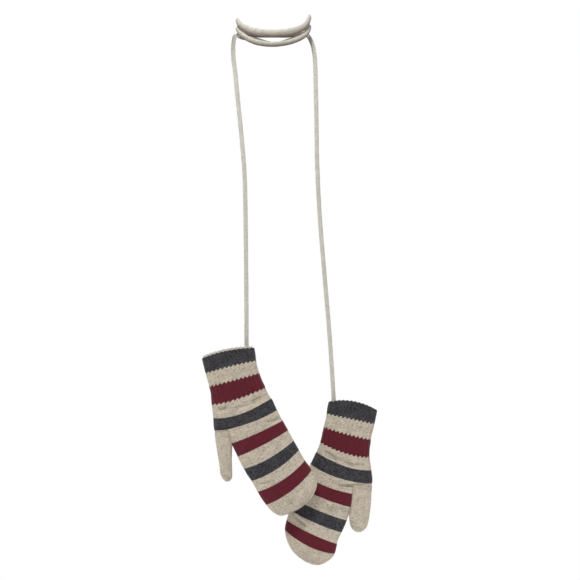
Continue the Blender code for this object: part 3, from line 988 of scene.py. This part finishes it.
def make_cord(material):
    route, widths = neck_route()
    path, walked, route_walked = even_path(route, CORD_STEP)
    tangent = np.gradient(path, axis=0)
    tangent /= np.linalg.norm(tangent, axis=1)[:, None]
    # Broad side up and down round the neck, and facing the front in the drops
    neck_from, neck_to = (
        walked[np.argmin(np.linalg.norm(path - np.array(end), axis=1))]
        for end in (LEFT_DROP[-1], RIGHT_DROP[0])
    )
    neck = smooth_step(walked, neck_from, neck_from + CORD_TURN_OVER)
    neck = neck * (1 - smooth_step(walked, neck_to - CORD_TURN_OVER, neck_to))
    round_neck = neck[:, None]
    broad = round_neck * np.array((0.0, 0.0, 1.0)) + (1.0 - round_neck) * np.array((1.0, 0.0, 0.0))
    broad = broad - tangent * (broad * tangent).sum(1)[:, None]
    broad /= np.linalg.norm(broad, axis=1)[:, None]
    thin = np.cross(tangent, broad)
    half_width = through(route_walked, widths, walked) / 2
    half_thick = (CORD_THICK_DROP + (CORD_THICK_NECK - CORD_THICK_DROP) * neck) / 2
    angle = np.arange(CORD_SIDES) / CORD_SIDES * math.tau
    stitch_row = walked[:, None] / (COURSE * MM)
    wale = np.arange(CORD_SIDES)[None, :] / CORD_SIDES * 2 * CORD_WALES
    grow = 1.0 + 0.04 * np.cos(math.tau * wale) * np.cos(math.tau * stitch_row)
    grow = grow + 0.03 * lumps(walked[:, None] / MM, np.cos(angle)[None, :] * 4.0, 14.0, 5)
    ring = (
        path[:, None, :]
        + broad[:, None, :] * (np.cos(angle) * half_width[:, None] * grow)[..., None]
        + thin[:, None, :] * (np.sin(angle) * half_thick[:, None] * grow)[..., None]
    )
    faces, spots = wrapped_quads(len(path), CORD_SIDES)
    uvs = np.stack(
        [spots[..., 1] / CORD_SIDES * 2 * CORD_WALES, walked[spots[..., 0]] / MM], -1
    ).reshape(-1, 2)
    faces = faces.tolist()
    faces.append(list(range(CORD_SIDES))[::-1])
    faces.append([(len(path) - 1) * CORD_SIDES + k for k in range(CORD_SIDES)])
    uvs = np.concatenate([uvs, np.zeros((CORD_SIDES * 2, 2))])
    cord = make_piece("knitted_cord", ring.reshape(-1, 3), faces, uvs, material)
    return cord, path, walked[-1]


# The cord's wool carries painted shade on the underside of its turns round the neck
cord_wool = wool("cord_wool", ("cord",), wales_width=1.6, stitch=0.8, underside_shade=UNDERSIDE_SHADE_STRETCH)
cord, cord_path, cord_length = make_cord(cord_wool)
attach(cord, "root")
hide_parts("neck_cord")
print(f"cord length {cord_length:.3f} m")


# --- mittens ---
striped = wool("striped_wool", STRIPE_YARNS, STRIPE_EDGES, ribbed_to=RIB_END + 3.0)
oatmeal = wool("oatmeal_wool", ("oatmeal",))
charcoal = wool("charcoal_wool", ("charcoal",), stitch=0.6)
# Painted light: the facing's oatmeal, made paler than the oatmeal yarn
oatmeal_painted_light = wool("oatmeal_painted_light_wool", ("oatmeal_painted_light",))


def easing_out(start, end, count, power=1.0):
    """Places from start to end, closer together towards the end, where the fabric rounds off."""
    return start + (end - start) * np.sin(np.linspace(0, 1, count) ** power * math.pi / 2)


def make_cuff(side, mitten, seed, shares):
    levels = np.linspace(0.0, RIB_END, int(RIB_END / ROW_STEP) + 1)
    inside = np.linspace(0.0, RIB_END, 16)
    cuff = shell(
        f"{side}_knit_cuff",
        fabric_rows(mitten, seed, levels, shares),
        fabric_rows(mitten, seed, inside, shares, WALL, outside=False),
        levels,
        inside,
        WALES,
        striped,
        capped=False,
    )
    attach(cuff, f"{side}_hand")
    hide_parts(f"{side}_cuff")


def make_hand(side, mitten, seed, shares):
    """Palm and fingers are one piece of knitting."""
    straight = np.linspace(RIB_END, TIP_FROM, int((TIP_FROM - RIB_END) / ROW_STEP) + 1)
    levels = np.concatenate([straight, easing_out(TIP_FROM, FABRIC_END - 0.02, 41)[1:]])
    inner_tip_from = TIP_FROM - 4.0
    straight_inside = np.linspace(RIB_END, inner_tip_from, 30)
    inside = np.concatenate([straight_inside, easing_out(inner_tip_from, FABRIC_END - 3.0, 13)[1:]])
    body = shell(
        f"{side}_knit_hand",
        fabric_rows(mitten, seed, levels, shares),
        fabric_rows(mitten, seed, inside, shares, WALL, outside=False),
        levels,
        inside,
        WALES,
        striped,
        capped=True,
    )
    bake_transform(body)
    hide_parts(f"{side}_palm", f"{side}_fingers")


def make_thumb(side, mitten, seed, shares):
    first, last = mitten["thumb_from"], mitten["thumb_outline"][-1][0]
    levels = easing_out(first, last - 0.03, int(70 / ROW_STEP), power=0.8)
    inside = easing_out(first, last - 2.6, 18)
    thumb = shell(
        f"{side}_knit_thumb",
        thumb_rows(mitten, seed, levels, shares),
        thumb_rows(mitten, seed, inside, shares, THUMB_WALL, outside=False),
        levels,
        inside,
        THUMB_WALES,
        oatmeal,
        capped=True,
    )
    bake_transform(thumb)
    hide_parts(f"{side}_thumb")


def make_facing(side, mitten, seed, shares):
    """The layer inside the mouth, whose scalloped edge shows above the cast-on edge: oatmeal painted paler,
    as painted light on its rim.
    """
    top = mitten["facing_top"]
    levels = np.concatenate([[top, top + 0.4], np.linspace(top + 1.2, FACING_END, 18)])
    scallop = 0.45 * np.cos(math.tau * np.arange(COLUMNS) / COLUMNS * RIBS)
    lift = [scallop * (1.0 - smooth_step(level, top, top + EDGE_LIFT_LENGTH)) for level in levels]
    facing = shell(
        f"{side}_knit_facing",
        fabric_rows(mitten, seed, levels, shares, WALL + 0.15, outside=False, raise_by=lift),
        fabric_rows(mitten, seed, levels, shares, WALL + 1.25, outside=False, raise_by=lift),
        levels,
        levels,
        WALES,
        oatmeal_painted_light,
        capped=False,
    )
    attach(facing, f"{side}_hand")
    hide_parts(f"{side}_cuff_facing")


def make_thumb_seams(side, mitten, seed, shares):
    """The stitches picked up round the thumb's opening, and the yarn drawn up inside its tip."""
    ring = thumb_rows(mitten, seed, [mitten["thumb_from"] + 0.2], shares, 0.3)[0]
    picked_up = yarn(f"{side}_picked_up_stitches", ring, 0.55, oatmeal, strands=2, twist=1.6, closed=True)
    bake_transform(picked_up)
    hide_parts(f"{side}_thumb_seam")

    turn = np.linspace(0.0, math.tau, 48, endpoint=False)
    middle = np.array(at_thumb(mitten, mitten["thumb_outline"][-1][0] - 8.0)) / MM
    loop = middle + np.stack([2.3 * np.cos(turn), 1.5 * np.sin(turn), 1.2 * np.sin(3 * turn)], -1)
    gather = yarn(f"{side}_thumb_gathering", loop, 0.8, oatmeal, strands=2, closed=True)
    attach(gather, f"{side}_thumb_end")
    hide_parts(f"{side}_thumb_gather")


def make_tip_seam(side, mitten):
    """The bound-off ridge inside the tip, from edge to edge."""
    tip_at = mitten["outline"][-1][0] - 12.0
    left, right = reach(mitten, np.array(tip_at))
    alongs, xs, zs, tilts = mitten["spine"]
    lean = np.interp(tip_at, alongs, tilts)
    count = 60
    acr = np.linspace(9.0 - left, right - 9.0, count)
    bumps = tip_at + 0.5 * np.cos(np.arange(count) * 1.9)
    path = np.stack(
        [
            np.interp(bumps, alongs, xs) + np.cos(lean) * acr,
            np.full(count, mitten["mouth"][1]),
            np.interp(bumps, alongs, zs) + np.sin(lean) * acr,
        ],
        -1,
    )
    tip_seam = yarn(f"{side}_bound_off_seam", path, 1.3, oatmeal)
    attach(tip_seam, f"{side}_finger_end")
    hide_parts(f"{side}_tip_seam")


def swing_joint(side):
    """Where the mitten hangs on the cord, in metres."""
    return np.array(next(joint["pos_m"] for joint in frame["joints"] if joint["name"] == f"{side}_swing"))


def make_knot(side, mitten):
    """The cord's end is knotted and stitched to the inside of the back wall."""
    turn = np.linspace(0.0, math.tau, 160, endpoint=False)
    swing = 1.7 + 0.8 * np.cos(3 * turn)
    middle = swing_joint(side) / MM - np.array((0.0, 0.0, mitten["knot_below"]))
    path = middle + np.stack(
        [swing * np.cos(2 * turn), 1.1 * np.sin(3 * turn), swing * np.sin(2 * turn)], -1
    )
    knot = yarn(f"{side}_cord_knot", path, 1.1, cord_wool, closed=True)
    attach(knot, "root")
    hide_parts(f"{side}_cord_tack")


def make_edge(side, mitten, seed, shares):
    """The cast-on edge, one yarn that rises over each rib."""
    path = fabric_rows(mitten, seed, [-0.2], shares, WALL / 2, outside=False)[0]
    path[:, 2] += EDGE_WAVE * np.cos(math.tau * RIBS * np.arange(COLUMNS) / COLUMNS)
    edge = yarn(f"{side}_knit_edge", path, 1.35, charcoal, twist=2.4, closed=True)
    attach(edge, f"{side}_hand")
    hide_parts(f"{side}_cast_on_edge")


def make_mitten(side, mitten, seed):
    mitten["spine"] = spine_of(mitten)
    shares = section(COLUMNS)
    thumb_shares = section(COLUMNS // 2, 0.6)
    make_cuff(side, mitten, seed, shares)
    make_hand(side, mitten, seed, shares)
    make_thumb(side, mitten, seed + 7, thumb_shares)
    make_facing(side, mitten, seed, shares)
    make_thumb_seams(side, mitten, seed + 7, thumb_shares)
    make_tip_seam(side, mitten)
    make_knot(side, mitten)
    make_edge(side, mitten, seed, shares)


for number, (side, mitten) in enumerate(MITTENS.items()):
    make_mitten(side, mitten, 20 + 10 * number)
